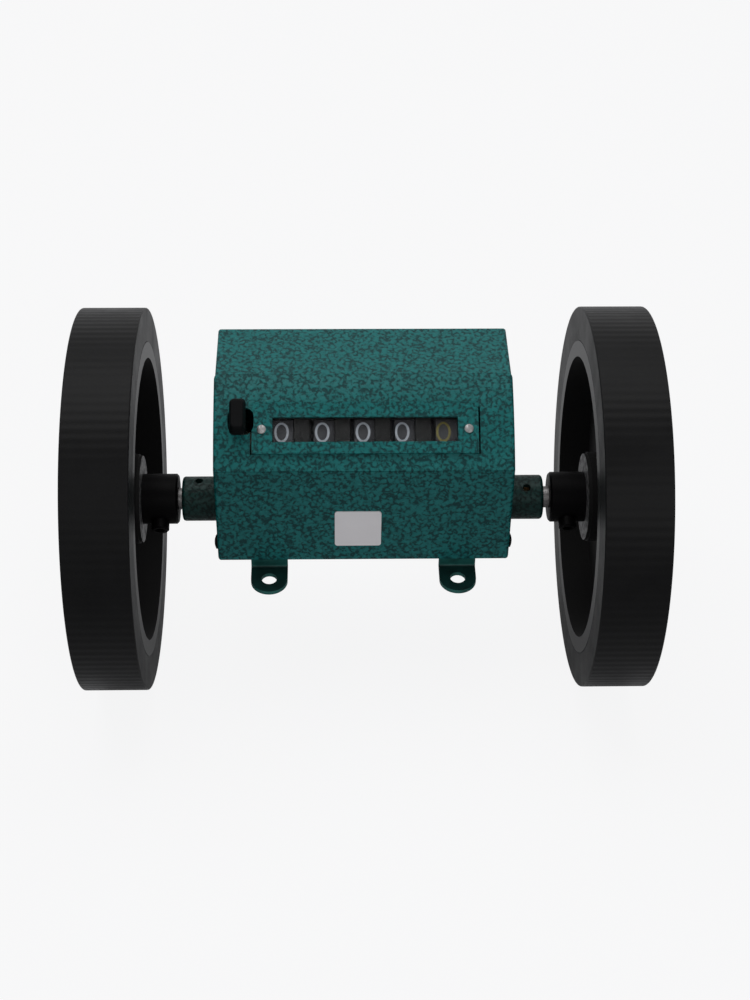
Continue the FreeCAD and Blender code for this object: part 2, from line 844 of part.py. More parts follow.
def side_screws():
    screws = []
    for face, place in side_screw_places():
        start = FreeCAD.Vector(face, place[0], place[1])
        head = domed_head(side_screw_head_radius, side_screw_head_height, start, ALONG)
        screw = joined(head, rod(side_screw_radius, plate_back, face, place))
        screws += [screw, mirrored(screw)]
    return Part.makeCompound(screws)


# Window pieces

def lens_block(out_range):
    """A flat strip behind the pad, drilled for the two window screws."""
    plate = pad_prism((-lens_height / 2, lens_height / 2), out_range,
                      (window_left - lens_overlap, window_right + lens_overlap))
    for x in window_screw_xs():
        plate = plate.cut(pad_cylinder(window_screw_radius, x, (-pad_skirt - overrun, overrun)))
    return plate


def window_opening(out_range):
    return pad_prism((-window_height / 2, window_height / 2), out_range, (window_left, window_right))


lens_out = -pad_plate
frame_out = lens_out - lens_thickness
frame_back = frame_out - lens_frame_thickness


def window_lens():
    return lens_block((frame_out, lens_out))


def lens_frame():
    opening = window_opening((frame_back - overrun, frame_out + overrun))
    return lens_block((frame_back, frame_out)).cut(opening)


def window_screws():
    way = FreeCAD.Vector(0, pad_normal[0], pad_normal[1])
    screws = []
    for x in window_screw_xs():
        start = on_pad(0, 0)
        head = domed_head(window_screw_head_radius, window_screw_head_height,
                          FreeCAD.Vector(x, start[0], start[1]), way)
        shank = pad_cylinder(window_screw_radius, x, (frame_back - window_nut_thickness, 0))
        screws.append(joined(head, shank))
    return Part.makeCompound(screws)


def window_nuts():
    way = FreeCAD.Vector(0, -pad_normal[0], -pad_normal[1])
    y, z = on_pad(0, frame_back)
    nuts = []
    for x in window_screw_xs():
        start = FreeCAD.Vector(x, y, z)
        nut = hexagon(window_nut_across_flats, start, way, window_nut_thickness)
        nuts.append(nut.cut(pad_cylinder(window_screw_radius, x, (frame_back - pad_skirt, overrun))))
    return Part.makeCompound(nuts)


def label_plate():
    middle_z = bottom_z + label_rise
    plate = box((label_shift - label_width / 2, label_shift + label_width / 2),
                (front_y - label_thickness, front_y),
                (middle_z - label_height / 2, middle_z + label_height / 2))
    corners = edges_at(plate, lambda edge: edge.BoundBox.YLength > label_thickness / 2)
    return plate.makeFillet(label_corner_radius, corners)


# Number drums and transfer pinions

def heart_outline(facing):
    """A heart: lowest where it faces the finger, and rising evenly round both sides."""
    points = []
    for step in range(heart_points):
        turn = 2 * math.pi * step / heart_points - math.pi
        radius = heart_low_radius + (heart_high_radius - heart_low_radius) * abs(turn) / math.pi
        points.append(polar(drum_axis, radius, facing + turn))
    return points


def number_drum(index):
    start = figures_left + index * drum_pitch
    band_start = start + transfer_disc_width
    pieces = [tube(drum_radius, drum_radius - band_thickness, band_start, start + band_end, drum_axis),
              rod(drum_radius - band_thickness / 2, band_start, band_start + drum_web_thickness, drum_axis)]
    if index > 0:
        phase = bearing(drum_axis, pinion_axis) + math.pi / 2
        segment = transfer_outline(ring_teeth, phase, drum_axis, kept=2)
    else:
        segment = transfer_outline(ring_teeth, 0, drum_axis, kept=0)
    pieces.append(prism(segment, start, band_start))
    heart_middle = start + band_end + channel_width / 2
    pieces.append(prism(heart_outline(bearing(drum_axis, finger_tip())),
                        heart_middle - heart_thickness / 2, heart_middle + heart_thickness / 2))
    if index < drum_count - 1:
        phase = facing_space(drum_axis, pinion_axis, ring_teeth)
        ring = transfer_outline(ring_teeth, phase, drum_axis)
    else:
        phase = facing_space(drum_axis, idler_axis, drum_gear_teeth)
        ring = drive_outline(drum_gear_teeth, phase, drum_axis)
    pieces.append(prism(ring, start + ring_start, start + ring_end))
    sleeve = rod(drum_hub_radius, start, start + ring_end, drum_axis)
    bore = rod(drum_axle_radius + running_fit, start - overrun, start + ring_end + overrun, drum_axis)
    return joined(sleeve, *pieces).cut(bore)


def pinion_start(index):
    return figures_left + index * drum_pitch + ring_start - pinion_side_gap


def pinion_end(index):
    return pinion_start(index) + ring_gear_width + pinion_side_gap + transfer_disc_width


def transfer_pinion(index):
    start = pinion_start(index)
    teeth_end = start + ring_gear_width + pinion_side_gap
    phase = facing_tooth(pinion_axis, drum_axis)
    teeth = prism(transfer_outline(pinion_teeth, phase, pinion_axis), start, teeth_end)
    sleeve = rod(pinion_hub_radius, teeth_end, pinion_end(index), pinion_axis)
    bore = rod(pinion_axle_radius + running_fit, start - overrun, pinion_end(index) + overrun, pinion_axis)
    return joined(teeth, sleeve).cut(bore)


def drum_axle():
    return rod(drum_axle_radius, -plate_face, plate_face, drum_axis)


def drum_spacers():
    left = tube(drum_hub_radius, drum_axle_radius, -plate_back, figures_left - drum_gap, drum_axis)
    right = tube(drum_hub_radius, drum_axle_radius, drums_right + drum_gap, plate_back, drum_axis)
    return Part.makeCompound([left, right])


def pinion_axle():
    return rod(pinion_axle_radius, -plate_face, plate_face, pinion_axis)


def pinion_spacers():
    starts = [-plate_back] + [pinion_end(index) + pinion_side_gap for index in range(drum_count - 1)]
    ends = [pinion_start(index) - pinion_side_gap for index in range(drum_count - 1)] + [plate_back]
    return Part.makeCompound([tube(pinion_spacer_radius, pinion_axle_radius, start, end, pinion_axis)
                              for start, end in zip(starts, ends)])


# Idler gear on its stub axle

small_gear_x = drums_right - ring_gear_width - pinion_side_gap / 2
small_gear_end = drums_right + pinion_side_gap / 2
clip_x = small_gear_x - drum_gap - clip_thickness


def idler_gear():
    large_phase = facing_space(idler_axis, shaft_axis, idler_large_teeth)
    small_phase = facing_tooth(idler_axis, drum_axis)
    large = prism(drive_outline(idler_large_teeth, large_phase, idler_axis), idler_large_x,
                  idler_large_x + drive_gear_width)
    small = prism(drive_outline(idler_small_teeth, small_phase, idler_axis), small_gear_x, small_gear_end)
    sleeve = rod(idler_hub_radius, small_gear_x, idler_end_x, idler_axis)
    bore = rod(idler_axle_radius + running_fit, small_gear_x - overrun, plate_face, idler_axis)
    return joined(sleeve, large, small).cut(bore)


def idler_axle():
    pin = rod(idler_axle_radius, clip_x - axle_tail, plate_face, idler_axis)
    groove = tube(idler_axle_radius + overrun, idler_axle_radius - clip_groove_depth, clip_x,
                  clip_x + clip_thickness, idler_axis)
    return pin.cut(groove)


def idler_clip():
    inner = idler_axle_radius - clip_groove_depth
    ring = tube(clip_radius, inner, clip_x, clip_x + clip_thickness, idler_axis)
    mouth = box((clip_x - overrun, clip_x + clip_thickness + overrun),
                (idler_axis[0], idler_axis[0] + clip_radius + overrun),
                (idler_axis[1] - clip_mouth / 2, idler_axis[1] + clip_mouth / 2))
    return ring.cut(mouth)


# Reset lever, its rod and fingers

def finger_tip():
    """The rest place of a finger's nose: half way down it moves straight at the drum axle."""
    pressed = heart_high_radius + finger_clearance + finger_nose_radius
    span = distance(reset_axis, drum_axis)
    reach = math.sqrt(span ** 2 - pressed ** 2)
    lift = math.asin(pressed / span)
    down = bearing(reset_axis, drum_axis)
    return polar(reset_axis, reach, down - lift - reset_travel)


def reset_rod():
    return rod(reset_rod_radius, -plate_face, plate_face, reset_axis)


def reset_fingers():
    fingers = []
    for index in range(drum_count):
        middle = figures_left + index * drum_pitch + band_end + channel_width / 2
        x_start = middle - finger_thickness / 2
        arm = link(reset_axis, finger_boss_radius, finger_tip(), finger_nose_radius,
                   x_start, x_start + finger_thickness)
        fingers.append(arm.cut(rod(reset_rod_radius, x_start - overrun, x_start + overrun, reset_axis)))
    return Part.makeCompound(fingers)


def lever_elbow():
    """Where the lever's arm meets its stem, below the slot."""
    return on_pad(reset_slot_offset + stem_offset, -reset_lever_depth)


def reset_lever():
    x_start = reset_lever_x - reset_lever_thickness / 2
    x_end = reset_lever_x + reset_lever_thickness / 2
    arm = link(reset_axis, reset_lever_boss_radius, lever_elbow(), reset_lever_end_radius,
               x_start, x_end)
    stem_range = (reset_slot_offset + stem_offset - stem_length / 2,
                  reset_slot_offset + stem_offset + stem_length / 2)
    stem = pad_prism(stem_range, (-reset_lever_depth, cap_lift + cap_socket_depth),
                     (reset_lever_x - stem_width / 2, reset_lever_x + stem_width / 2))
    bore = rod(reset_rod_radius, x_start - overrun, x_end + overrun, reset_axis)
    return joined(arm, stem).cut(bore)


def cap_section(out, share):
    """One rounded section of the cap, out from the pad, narrowed by share."""
    half_width = cap_width * share / 2
    half_straight = cap_length * share / 2 - half_width
    middle = reset_slot_offset + stem_offset

    def at(along, across):
        y, z = on_pad(middle + along, out)
        return FreeCAD.Vector(reset_lever_x + across, y, z)
    edges = [Part.LineSegment(at(-half_straight, -half_width), at(half_straight, -half_width)).toShape(),
             Part.Arc(at(half_straight, -half_width), at(half_straight + half_width, 0),
                      at(half_straight, half_width)).toShape(),
             Part.LineSegment(at(half_straight, half_width), at(-half_straight, half_width)).toShape(),
             Part.Arc(at(-half_straight, half_width), at(-half_straight - half_width, 0),
                      at(-half_straight, -half_width)).toShape()]
    return Part.Wire(edges)


def reset_cap():
    """The black finger cap: a rounded bar, narrower on top, pushed on the stem."""
    lower = cap_section(cap_lift, 1)
    upper = cap_section(cap_lift + cap_height, cap_top_share)
    cap = Part.makeLoft([lower, upper], True, True)
    socket = pad_prism((reset_slot_offset + stem_offset - stem_length / 2,
                        reset_slot_offset + stem_offset + stem_length / 2),
                       (cap_lift - overrun, cap_lift + cap_socket_depth),
                       (reset_lever_x - stem_width / 2, reset_lever_x + stem_width / 2))
    return cap.cut(socket)


spring_radius = reset_rod_radius + spring_wire_radius + spring_rod_gap


def spring_hook_place():
    """The place of the spring's hook, just under the lever's arm."""
    heading = bearing(reset_axis, lever_elbow())
    taper = (reset_lever_boss_radius - reset_lever_end_radius) / distance(reset_axis, lever_elbow())
    lean = math.acos(taper)
    lower_edge = polar(reset_axis, reset_lever_boss_radius, heading + lean)
    along = polar((0, 0), spring_hook_out, heading + lean - math.pi / 2)
    below = polar((0, 0), spring_wire_radius + spring_seat_gap, heading + lean)
    return (lower_edge[0] + along[0] + below[0], lower_edge[1] + along[1] + below[1])


def reset_spring():
    """The torsion spring on the reset rod: its hook lifts the lever, its tail bears under the top."""
    hook = spring_hook_place()
    tail = (reset_axis[0] + spring_tail_back,
            top_z - cover_wall - spring_wire_radius - spring_seat_gap)
    start_turn = bearing(reset_axis, hook) + math.acos(spring_radius / distance(reset_axis, hook))
    end_turn = bearing(reset_axis, tail) - math.acos(spring_radius / distance(reset_axis, tail))
    extra = (end_turn - start_turn) % (2 * math.pi) / (2 * math.pi)
    start_x = reset_lever_x + reset_lever_thickness / 2 + spring_lever_gap
    end_x = start_x + spring_pitch * (spring_turns + extra)

    def at(x, place):
        return FreeCAD.Vector(x, place[0], place[1])
    coil = Part.makeHelix(spring_pitch, end_x - start_x, spring_radius)
    coil.Placement = FreeCAD.Placement(at(start_x, reset_axis),
                                       FreeCAD.Rotation(ALONG, math.degrees(start_turn) + FULL_TURN / 4)
                                       .multiply(FreeCAD.Rotation(UP, ALONG)))
    coil_start = at(start_x, polar(reset_axis, spring_radius, start_turn))
    coil_end = at(end_x, polar(reset_axis, spring_radius, end_turn))
    corner = at(start_x, hook)
    inward = (coil_start - corner).normalize()
    bend_start = corner - ALONG * spring_hook_bend
    bend_end = corner + inward * spring_hook_bend
    bend_middle = corner + (inward - ALONG) * (spring_hook_bend * (1 - math.sqrt(1 / 2)))
    hook_end = at(reset_lever_x - reset_lever_thickness / 2, hook)
    path = Part.Wire([Part.LineSegment(hook_end, bend_start).toShape(),
                      Part.Arc(bend_start, bend_middle, bend_end).toShape(),
                      Part.LineSegment(bend_end, coil_start).toShape()]
                     + coil.Edges
                     + [Part.LineSegment(coil_end, at(end_x, tail)).toShape()])
    ring = Part.Wire(Part.makeCircle(spring_wire_radius, hook_end, ALONG))
    return path.makePipeShell([ring], True, False)


def save(name, shape):
    shape.exportStep(os.path.join("parts", name + ".step"))
    print(name, "solids", len(shape.Solids), "valid", shape.isValid(), "volume", round(shape.Volume, 2))


def main():
    os.makedirs("parts", exist_ok=True)
    save("base_plate", base_plate())
    save("left_end_plate", left_end_plate())
    save("right_end_plate", right_end_plate())
    save("front_plate", front_plate())
    save("window_cover", window_cover())
    save("rear_cover", rear_cover())
    save("side_screws", side_screws())
    save("base_screws", base_screws())
    save("shaft_bushes", shaft_bushes())
    save("window_lens", window_lens())
    save("lens_frame", lens_frame())
    save("window_screws", window_screws())
    save("window_nuts", window_nuts())
    save("label_plate", label_plate())
    save("drum_axle", drum_axle())
    save("drum_spacers", drum_spacers())
    save("pinion_axle", pinion_axle())
    save("pinion_spacers", pinion_spacers())
    save("idler_axle", idler_axle())
    save("idler_clip", idler_clip())
    save("idler_gear", idler_gear())
    save("shaft", shaft())
    save("shaft_gear", shaft_gear())
    save("thrust_collar", thrust_collar())
    save("collar_screw", collar_screw())
    for side, name in ((-1, "left"), (1, "right")):
        save(name + "_tyre", roller_side(tyre(), side))
        save(name + "_wheel", roller_side(wheel(), side))
        save(name + "_hub", roller_side(hub(), side))
    save("wheel_washers", both_sides(washer))
    save("hub_screws", both_sides(hub_screw))
    for index, name in enumerate(("thousands", "hundreds", "tens", "units", "tenths")):
        save(name + "_drum", number_drum(index))
    for index in range(drum_count - 1):
        save("transfer_pinion_" + str(index + 1), transfer_pinion(index))
    save("reset_rod", reset_rod())
    save("reset_lever", reset_lever())
    save("reset_cap", reset_cap())
    save("reset_fingers", reset_fingers())
    save("reset_spring", reset_spring())


main()
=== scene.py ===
import json
import math

import bpy
from mathutils import Matrix, Vector


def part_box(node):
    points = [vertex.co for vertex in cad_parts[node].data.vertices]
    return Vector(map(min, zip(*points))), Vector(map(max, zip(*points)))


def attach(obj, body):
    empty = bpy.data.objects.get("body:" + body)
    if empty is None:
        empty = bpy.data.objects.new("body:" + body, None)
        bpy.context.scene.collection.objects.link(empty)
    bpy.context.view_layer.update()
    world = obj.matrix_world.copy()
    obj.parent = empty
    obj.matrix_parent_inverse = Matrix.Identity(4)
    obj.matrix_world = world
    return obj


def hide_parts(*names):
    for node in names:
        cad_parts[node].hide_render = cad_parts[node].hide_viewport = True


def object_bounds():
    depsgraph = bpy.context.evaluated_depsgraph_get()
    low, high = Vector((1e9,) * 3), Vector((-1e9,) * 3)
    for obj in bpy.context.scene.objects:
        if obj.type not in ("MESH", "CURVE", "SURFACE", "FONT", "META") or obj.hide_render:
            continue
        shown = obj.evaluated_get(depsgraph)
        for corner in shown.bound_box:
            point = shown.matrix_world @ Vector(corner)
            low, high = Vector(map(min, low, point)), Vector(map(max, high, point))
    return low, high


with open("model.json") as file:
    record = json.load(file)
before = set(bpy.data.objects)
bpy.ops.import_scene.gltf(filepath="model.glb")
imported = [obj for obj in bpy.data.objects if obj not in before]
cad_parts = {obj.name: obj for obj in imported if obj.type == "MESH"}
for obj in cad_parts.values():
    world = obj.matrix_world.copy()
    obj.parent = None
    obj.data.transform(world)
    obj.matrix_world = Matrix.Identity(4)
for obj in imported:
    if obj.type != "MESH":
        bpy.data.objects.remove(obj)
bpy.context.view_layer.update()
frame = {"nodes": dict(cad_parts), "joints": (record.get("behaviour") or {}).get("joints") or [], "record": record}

nodes = frame["nodes"]
joint_at = {joint["name"]: Vector(joint["pos_m"]) for joint in frame["joints"]}
shaft_at = joint_at["wheel_spin"]
drum_at = joint_at["units_spin"]

MM = 0.001
TURN = 2 * math.pi

# The photograph's camera, placed from the shaft axis. Angles are in radians, lengths in metres.
PHOTO_HEIGHT_PX = 1000
FOCAL_PX = 1782.5
SENSOR = 36.0
CAMERA_SIDE = -8.65 * MM
CAMERA_OUT = 498.66 * MM
CAMERA_RISE = -12.43 * MM
LOOK_DOWN = math.radians(43)
CAMERA_YAW = 0.0242
CAMERA_PITCH = 0.0236
CAMERA_ROLL = 0.0059
CAMERA_NEAR = 0.01
CAMERA_FAR = 30


def turn_pair(angle, first, second):
    """Two axes turned about the third by angle."""
    return (math.cos(angle) * first - math.sin(angle) * second,
            math.sin(angle) * first + math.cos(angle) * second)


def make_camera():
    right = Vector((1, 0, 0))
    up = Vector((0, math.sin(LOOK_DOWN), math.cos(LOOK_DOWN)))
    ahead = Vector((0, math.cos(LOOK_DOWN), -math.sin(LOOK_DOWN)))
    place = shaft_at + right * CAMERA_SIDE + up * CAMERA_RISE - ahead * CAMERA_OUT
    right, ahead = turn_pair(CAMERA_YAW, right, ahead)
    up, ahead = turn_pair(CAMERA_PITCH, up, ahead)
    right, up = turn_pair(CAMERA_ROLL, right, up)
    data = bpy.data.cameras.new("camera")
    data.lens = FOCAL_PX * SENSOR / PHOTO_HEIGHT_PX
    data.sensor_width = SENSOR
    data.clip_start = CAMERA_NEAR
    data.clip_end = CAMERA_FAR
    camera = bpy.data.objects.new("camera", data)
    camera.matrix_world = Matrix((
        (right.x, up.x, -ahead.x, place.x),
        (right.y, up.y, -ahead.y, place.y),
        (right.z, up.z, -ahead.z, place.z),
        (0, 0, 0, 1)))
    bpy.context.scene.collection.objects.link(camera)
    bpy.context.scene.camera = camera


# Materials. Scales of noise and cells count their features in a metre.

# The Mix node's sockets for its factor and its two colours, and for its result
MIX_INPUTS = (0, 6, 7)
MIX_RESULT = 2
# Least part of a face's normal along the shaft that makes it a side of a wheel
SIDE_FACING = 0.9
RING_SCALE = 2600


class Paint:
    """A material under construction: its node tree, its shader and the object's own coordinates."""

    def __init__(self, name, color, roughness, metallic=0.0, specular=0.5, **extra):
        self.material = bpy.data.materials.new(name)
        self.material.use_nodes = True
        self.tree = self.material.node_tree
        self.shader = self.tree.nodes["Principled BSDF"]
        self.set("Base Color", (*color, 1))
        self.set("Roughness", roughness)
        self.set("Metallic", metallic)
        self.set("Specular IOR Level", specular)
        for key, value in extra.items():
            self.set(key.replace("_", " "), value)
        self.where = self.add("ShaderNodeTexCoord").outputs["Object"]
        self.material.diffuse_color = (*color, 1)

    def feed(self, socket, value):
        """Links another node's output to a socket, or sets the socket's constant."""
        if isinstance(value, bpy.types.NodeSocket):
            self.tree.links.new(value, socket)
        else:
            socket.default_value = value

    def set(self, name, value):
        self.feed(self.shader.inputs[name], value)

    def add(self, kind, settings=None, **inputs):
        """A node with these settings. Inputs go by name, or by number as i0, i1 and i2."""
        node = self.tree.nodes.new(kind)
        for key, value in (settings or {}).items():
            setattr(node, key, value)
        for key, value in inputs.items():
            name = int(key[1:]) if key[1:].isdigit() else key.replace("_", " ")
            self.feed(node.inputs[name], value)
        return node

    def math(self, operation, first, second=0.0, clamp=False):
        node = self.add("ShaderNodeMath", {"operation": operation, "use_clamp": clamp},
                        i0=first, i1=second)
        return node.outputs[0]

    def vectors(self, operation, *values):
        """A sum or product of vectors, or the distance between two."""
        inputs = {f"i{place}": value for place, value in enumerate(values)}
        node = self.add("ShaderNodeVectorMath", {"operation": operation}, **inputs)
        return node.outputs["Value" if operation == "DISTANCE" else "Vector"]

    def noise(self, scale, detail=2.0, rough=0.5, vector=None):
        node = self.add("ShaderNodeTexNoise", None, Vector=vector or self.where, Scale=scale,
                        Detail=detail, Roughness=rough)
        return node.outputs["Fac"]

    def cells(self, scale, vector, feature="F1"):
        node = self.add("ShaderNodeTexVoronoi", {"feature": feature}, Vector=vector, Scale=scale)
        return node.outputs["Distance"]

    def shaken(self, scale, amount, detail=1.0):
        """The object's coordinates, pushed about by noise to at most half of amount."""
        noise = self.add("ShaderNodeTexNoise", None, Vector=self.where, Scale=scale, Detail=detail)
        push = self.vectors("MULTIPLY_ADD", noise.outputs["Color"], (amount,) * 3,
                            (-amount / 2,) * 3)
        return self.vectors("ADD", self.where, push)

    def ramp(self, value, low, high, out_low=0.0, out_high=1.0, smooth=False):
        """A value carried from the range low to high to the range out_low to out_high."""
        curve = "SMOOTHSTEP" if smooth else "LINEAR"
        node = self.add("ShaderNodeMapRange", {"interpolation_type": curve}, Value=value,
                        From_Min=low, From_Max=high, To_Min=out_low, To_Max=out_high)
        return node.outputs[0]

    def blend(self, factor, first, second):
        """A mix of two colours, each a constant or another node's output."""
        node = self.add("ShaderNodeMix", {"data_type": "RGBA"})
        for place, value in zip(MIX_INPUTS, (factor, first, second)):
            self.feed(node.inputs[place], (*value, 1) if isinstance(value, tuple) else value)
        return node.outputs[MIX_RESULT]

    def bump(self, height, distance, strength):
        node = self.add("ShaderNodeBump", None, Height=height, Distance=distance, Strength=strength)
        self.set("Normal", node.outputs[0])

    def radius(self):
        """Distance from the shaft axis."""
        flat = self.vectors("MULTIPLY", self.where, (0, 1, 1))
        return self.vectors("DISTANCE", flat, (0, shaft_at.y, shaft_at.z))

    def rings(self):
        """Fine turned rings about the shaft axis."""
        node = self.add("ShaderNodeTexNoise", {"noise_dimensions": "1D"}, W=self.radius(),
                        Scale=RING_SCALE, Detail=3.0)
        return node.outputs["Fac"]

    def facing(self, normal, axis):
        """How squarely a face looks along an axis, from zero to one."""
        geometry = self.add("ShaderNodeNewGeometry")
        parts = self.add("ShaderNodeSeparateXYZ", None, Vector=geometry.outputs[normal])
        return self.math("ABSOLUTE", parts.outputs[axis])

    def flat_side(self):
        """One on faces square to the shaft, zero elsewhere."""
        return self.math("GREATER_THAN", self.facing("True Normal", 0), SIDE_FACING)


def dimmed(color, share):
    """A colour with each part at this share of its strength."""
    return tuple(part * share for part in color)


# Hammered enamel: cells, the pushes that bend them, breaks in their lines, clouds and flecks
HAMMER_CELLS = 640
HAMMER_PUSHES = 800
HAMMER_PUSH = 1.1 * MM
HAMMER_BREAKS = 950
HAMMER_CLOUDS = 450
HAMMER_FLECKS = 1500
# A line's half width, as a share of a cell
HAMMER_LINE = 0.34
ENAMEL_BUMP = 0.08 * MM
FINE_BUMP = 0.03 * MM


def hammertone(name, light, dark, fleck):
    """Hammered enamel: light grounds, broken dark lines between them, and a few flecks."""
    paint = Paint(name, light, 0.4, specular=0.12)
    place = paint.shaken(HAMMER_PUSHES, HAMMER_PUSH, 2)
    edge = paint.cells(HAMMER_CELLS, place, "DISTANCE_TO_EDGE")
    gate = paint.noise(HAMMER_BREAKS)
    cloud = paint.noise(HAMMER_CLOUDS, 3, 0.6)
    line = paint.math("MULTIPLY", paint.ramp(edge, 0.0, HAMMER_LINE, 1.0, 0.0, smooth=True),
                      paint.ramp(gate, 0.38, 0.64, 0.1, 1.5))
    mixed = paint.math("ADD", line, paint.ramp(cloud, 0.35, 0.65, -0.12, 0.22), clamp=True)
    bright = paint.ramp(paint.noise(HAMMER_FLECKS), 0.6, 0.74, 0.0, 0.55)
    paint.set("Base Color", paint.blend(bright, paint.blend(mixed, light, dark), fleck))
    paint.set("Roughness", paint.ramp(mixed, 0.0, 1.0, 0.34, 0.5))
    paint.bump(paint.math("SUBTRACT", bright, line), ENAMEL_BUMP, 0.5)
    return paint.material


def smooth_enamel(name, light, dark, upright):
    """Thick enamel, painted darker on the level faces as painted shade and lighter on the upright ones as painted
    light; random flow gives each a second tone.
    """
    paint = Paint(name, light, 0.4, specular=0.14)
    flow = paint.noise(300, 3, 0.55)
    pooled = paint.ramp(flow, 0.35, 0.65)
    # Level faces take the darker pair of colours as painted shade, upright faces the lighter pair as painted light
    level = paint.ramp(paint.facing("Normal", 2), 0.45, 0.85, smooth=True)
    level_painted_shade = paint.blend(pooled, light, dark)
    upright_painted_light = paint.blend(pooled, upright, dimmed(upright, 0.55))
    paint.set("Base Color", paint.blend(level, upright_painted_light, level_painted_shade))
    paint.set("Roughness", paint.ramp(flow, 0.3, 0.7, 0.32, 0.48))
    paint.bump(paint.noise(620), ENAMEL_BUMP, 0.6)
    return paint.material


# What the tyres' moulded sides have in roughness above their ground tread
SIDE_DULLNESS = 0.06


def rubber(name):
    """Ground rubber with fine grit and faint smears, duller on its moulded sides."""
    paint = Paint(name, (0.005, 0.005, 0.0052), 0.4, specular=0.065)
    grit = paint.noise(2600, 3, 0.6)
    smear = paint.noise(90, 4, 0.6)
    shade = paint.math("ADD", paint.ramp(grit, 0.3, 0.7, 0.0, 0.5),
                       paint.ramp(smear, 0.35, 0.7, 0.0, 0.5))
    paint.set("Base Color", paint.blend(shade, (0.0035, 0.0035, 0.0037), (0.0068, 0.0068, 0.0071)))
    dull = paint.math("MULTIPLY", paint.flat_side(), SIDE_DULLNESS)
    paint.set("Roughness", paint.math("ADD", dull, paint.ramp(smear, 0.3, 0.7, 0.33, 0.43)))
    paint.bump(grit, FINE_BUMP, 0.5)
    return paint.material


def machined(name, color, roughness):
    """Turned metal with rings about the shaft axis."""
    paint = Paint(name, color, roughness, metallic=1.0)
    tarnish = paint.noise(380, 4, 0.6)
    dull = paint.ramp(tarnish, 0.35, 0.68)
    paint.set("Base Color", paint.blend(dull, color, dimmed(color, 0.55)))
    paint.set("Roughness", paint.ramp(tarnish, 0.3, 0.7, roughness, roughness + 0.2))
    paint.bump(paint.rings(), FINE_BUMP, 0.5)
    return paint.material


# Radius from which a wheel's flat sides are the turned edge of its rim
RIM_FACE_FROM = 38.5 * MM


def wheel_metal(name, face_color, inside_black_and_shade):
    """Blackened cast wheel: near black in its recesses, which is its black paint and painted shade of the deep
    recess; smoother turned metal on the rim's edge.
    """
    paint = Paint(name, inside_black_and_shade, 0.6, specular=0.12)
    on_rim = paint.math("GREATER_THAN", paint.radius(), RIM_FACE_FROM)
    face = paint.math("MULTIPLY", paint.flat_side(), on_rim)
    grain = paint.noise(1500, 3, 0.6)
    cut = paint.rings()
    bare = paint.blend(paint.ramp(cut, 0.3, 0.7), face_color, dimmed(face_color, 0.7))
    # Away from the rim's edge: the wheel's black paint, darkened further as painted shade of the deep recess
    cast = paint.blend(paint.ramp(grain, 0.35, 0.65), inside_black_and_shade, dimmed(inside_black_and_shade, 1.7))
    paint.set("Base Color", paint.blend(face, cast, bare))
    paint.set("Roughness", paint.ramp(face, 0.0, 1.0, 0.75, 0.38))
    paint.bump(paint.math("ADD", paint.math("MULTIPLY", grain, 0.6), cut), 0.04 * MM, 0.5)
    return paint.material


def plastic(name, color, roughness, grain_scale=2200, mottle=0.25, specular=0.5):
    """Moulded or coated parts: a fine grain, and clouds that are darker by mottle."""
    paint = Paint(name, color, roughness, specular=specular)
    cloud = paint.noise(120, 3)
    clouded = paint.ramp(cloud, 0.3, 0.7)
    paint.set("Base Color", paint.blend(clouded, color, dimmed(color, 1 - mottle)))
    paint.set("Roughness", paint.ramp(cloud, 0.3, 0.7, roughness, min(1, roughness + 0.12)))
    paint.bump(paint.noise(grain_scale, 3, 0.6), FINE_BUMP, 0.4)
    return paint.material


# Squeezes the noise across X, so that its streaks run along X
SCRATCH_STRETCH = (1, 40, 40)


def drawn_metal(name, color, roughness):
    """Drawn or ground metal, its scratches running along X."""
    paint = Paint(name, color, roughness, metallic=1.0)
    lines = paint.noise(60, 4, 0.7, paint.vectors("MULTIPLY", paint.where, SCRATCH_STRETCH))
    spots = paint.noise(700, 4, 0.6)
    paint.set("Base Color", paint.blend(paint.ramp(spots, 0.4, 0.7), color, dimmed(color, 0.6)))
    paint.set("Roughness", paint.ramp(lines, 0.3, 0.7, roughness, roughness + 0.15))
    paint.bump(lines, 0.02 * MM, 0.4)
    return paint.material


def mottled_zinc(name):
    """Zinc washers, spangled on their flat sides and near black round their edges."""
    paint = Paint(name, (0.15, 0.15, 0.15), 0.5, metallic=0.4, specular=0.2)
    spangle = paint.cells(900, paint.shaken(500, 1.0 * MM))
    cloud = paint.noise(600, 4, 0.65)
    shade = paint.math("ADD", paint.math("MULTIPLY", spangle, 0.6),
                       paint.ramp(cloud, 0.4, 0.62, -0.2, 0.7), clamp=True)
    spangled = paint.blend(shade, (0.12, 0.118, 0.12), (0.008, 0.008, 0.009))
    paint.set("Base Color", paint.blend(paint.flat_side(), (0.004, 0.004, 0.004), spangled))
    paint.set("Roughness", paint.ramp(cloud, 0.3, 0.7, 0.42, 0.72))
    paint.bump(cloud, 0.05 * MM, 0.6)
    return paint.material


def clear_lens(name):
    """Clear window with a faint haze."""
    paint = Paint(name, (0.92, 0.95, 0.95), 0.03, IOR=1.1, Transmission_Weight=1.0, Alpha=0.35)
    paint.set("Roughness", paint.ramp(paint.noise(300, 3), 0.4, 0.7, 0.02, 0.08))
    return paint.material


def figure_paint(name, color):
    """Paint of the figures, worn in fine spots."""
    paint = Paint(name, color, 0.5)
    wear = paint.noise(1800, 4, 0.7)
    paint.set("Base Color", paint.blend(paint.ramp(wear, 0.45, 0.8), color, dimmed(color, 0.7)))
    return paint.material


